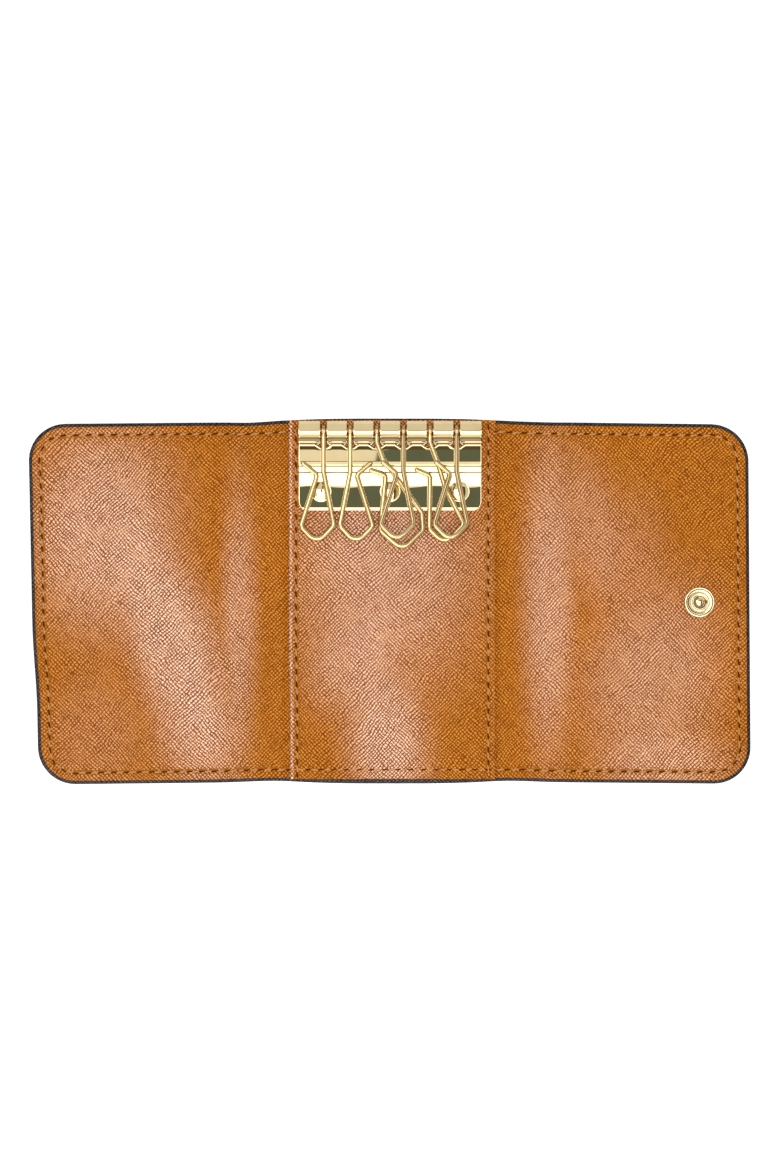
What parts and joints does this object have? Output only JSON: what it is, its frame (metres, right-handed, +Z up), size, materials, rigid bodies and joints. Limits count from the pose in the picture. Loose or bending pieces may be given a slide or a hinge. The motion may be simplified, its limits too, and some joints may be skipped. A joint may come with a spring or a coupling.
{
  "type": "key case",
  "caption": "Tri-fold leather key case lying open: a slotted key bar with swinging wire hooks on the centre panel, folding flaps and a press snap.",
  "frame": {"origin": "middle of the open case, on the surface that it lies on", "axes": "+X to the right flap, +Y towards the key bar and the top edge, +Z up out of the lining"},
  "size_m": [0.2058, 0.1041, 0.0105],
  "materials": {
    "lining_leather": "tan crosshatch grain, satin",
    "cover_leather": "near-black crosshatch grain, satin",
    "stiffener_board": "matte",
    "gold_plated_steel": "polished pale gold plating",
    "gold_plated_brass": "polished pale gold plating",
    "bare_steel": "plain"
  },
  "bodies": {
    "centre_panel": {"centre_cover": "cover_leather", "centre_board": "stiffener_board", "key_panel": "lining_leather", "key_bar": "gold_plated_steel", "hook_rod": "gold_plated_steel", "bar_rivets": "gold_plated_steel", "rivet_washers": "bare_steel"},
    "left_spine": {"left_spine_cover": "cover_leather", "left_spine_lining": "lining_leather"},
    "left_flap": {"left_flap_cover": "cover_leather", "left_flap_board": "stiffener_board", "left_flap_lining": "lining_leather", "snap_stud": "gold_plated_brass", "stud_post": "bare_steel"},
    "right_spine": {"right_spine_cover": "cover_leather", "right_spine_lining": "lining_leather"},
    "right_flap": {"right_flap_cover": "cover_leather", "right_flap_board": "stiffener_board", "right_flap_lining": "lining_leather", "snap_socket": "gold_plated_brass", "snap_spring": "bare_steel", "snap_cap": "gold_plated_brass"},
    "hook_1": {"hook_1": "gold_plated_steel"},
    "hook_2": {"hook_2": "gold_plated_steel"},
    "hook_3": {"hook_3": "gold_plated_steel"},
    "hook_4": {"hook_4": "gold_plated_steel"},
    "hook_5": {"hook_5": "gold_plated_steel"},
    "hook_6": {"hook_6": "gold_plated_steel"}
  },
  "joints": [
    {"name": "left_spine_fold", "type": "hinge", "parent": "centre_panel", "child": "left_spine", "pos_m": [-0.02956, 0.0002, 0.0023], "axis": [0, 1, 0], "range_deg": [0, 86.44]},
    {"name": "left_flap_fold", "type": "hinge", "parent": "left_spine", "child": "left_flap", "pos_m": [-0.04354, 0.0002, 0.00317], "axis": [0, 1, 0], "range_deg": [0, 90]},
    {"name": "right_spine_fold", "type": "hinge", "parent": "centre_panel", "child": "right_spine", "pos_m": [0.03044, 0.0002, 0.0023], "axis": [0, -1, 0], "range_deg": [0, 89.01]},
    {"name": "right_flap_fold", "type": "hinge", "parent": "right_spine", "child": "right_flap", "pos_m": [0.04953, 0.0002, 0.00263], "axis": [0, -1, 0], "range_deg": [0, 90]},
    {"name": "hook_1_swing", "type": "hinge", "parent": "centre_panel", "child": "hook_1", "pos_m": [-0.01891, 0.0488, 0.00475], "axis": [-1, 0, 0], "range_deg": [0, 165]},
    {"name": "hook_2_swing", "type": "hinge", "parent": "centre_panel", "child": "hook_2", "pos_m": [-0.01133, 0.0488, 0.00475], "axis": [-1, 0, 0], "range_deg": [0, 165]},
    {"name": "hook_3_swing", "type": "hinge", "parent": "centre_panel", "child": "hook_3", "pos_m": [-0.00375, 0.0488, 0.00475], "axis": [-1, 0, 0], "range_deg": [0, 165]},
    {"name": "hook_4_swing", "type": "hinge", "parent": "centre_panel", "child": "hook_4", "pos_m": [0.00383, 0.0488, 0.00475], "axis": [-1, 0, 0], "range_deg": [0, 165]},
    {"name": "hook_5_swing", "type": "hinge", "parent": "centre_panel", "child": "hook_5", "pos_m": [0.01141, 0.0488, 0.00475], "axis": [-1, 0, 0], "range_deg": [0, 165]},
    {"name": "hook_6_swing", "type": "hinge", "parent": "centre_panel", "child": "hook_6", "pos_m": [0.01899, 0.0488, 0.00475], "axis": [-1, 0, 0], "range_deg": [0, 165]}
  ],
  "couplings": [
    {"joint": "hook_3_swing", "follows": "hook_4_swing", "ratio": 1},
    {"joint": "hook_5_swing", "follows": "hook_6_swing", "ratio": 1}
  ]
}
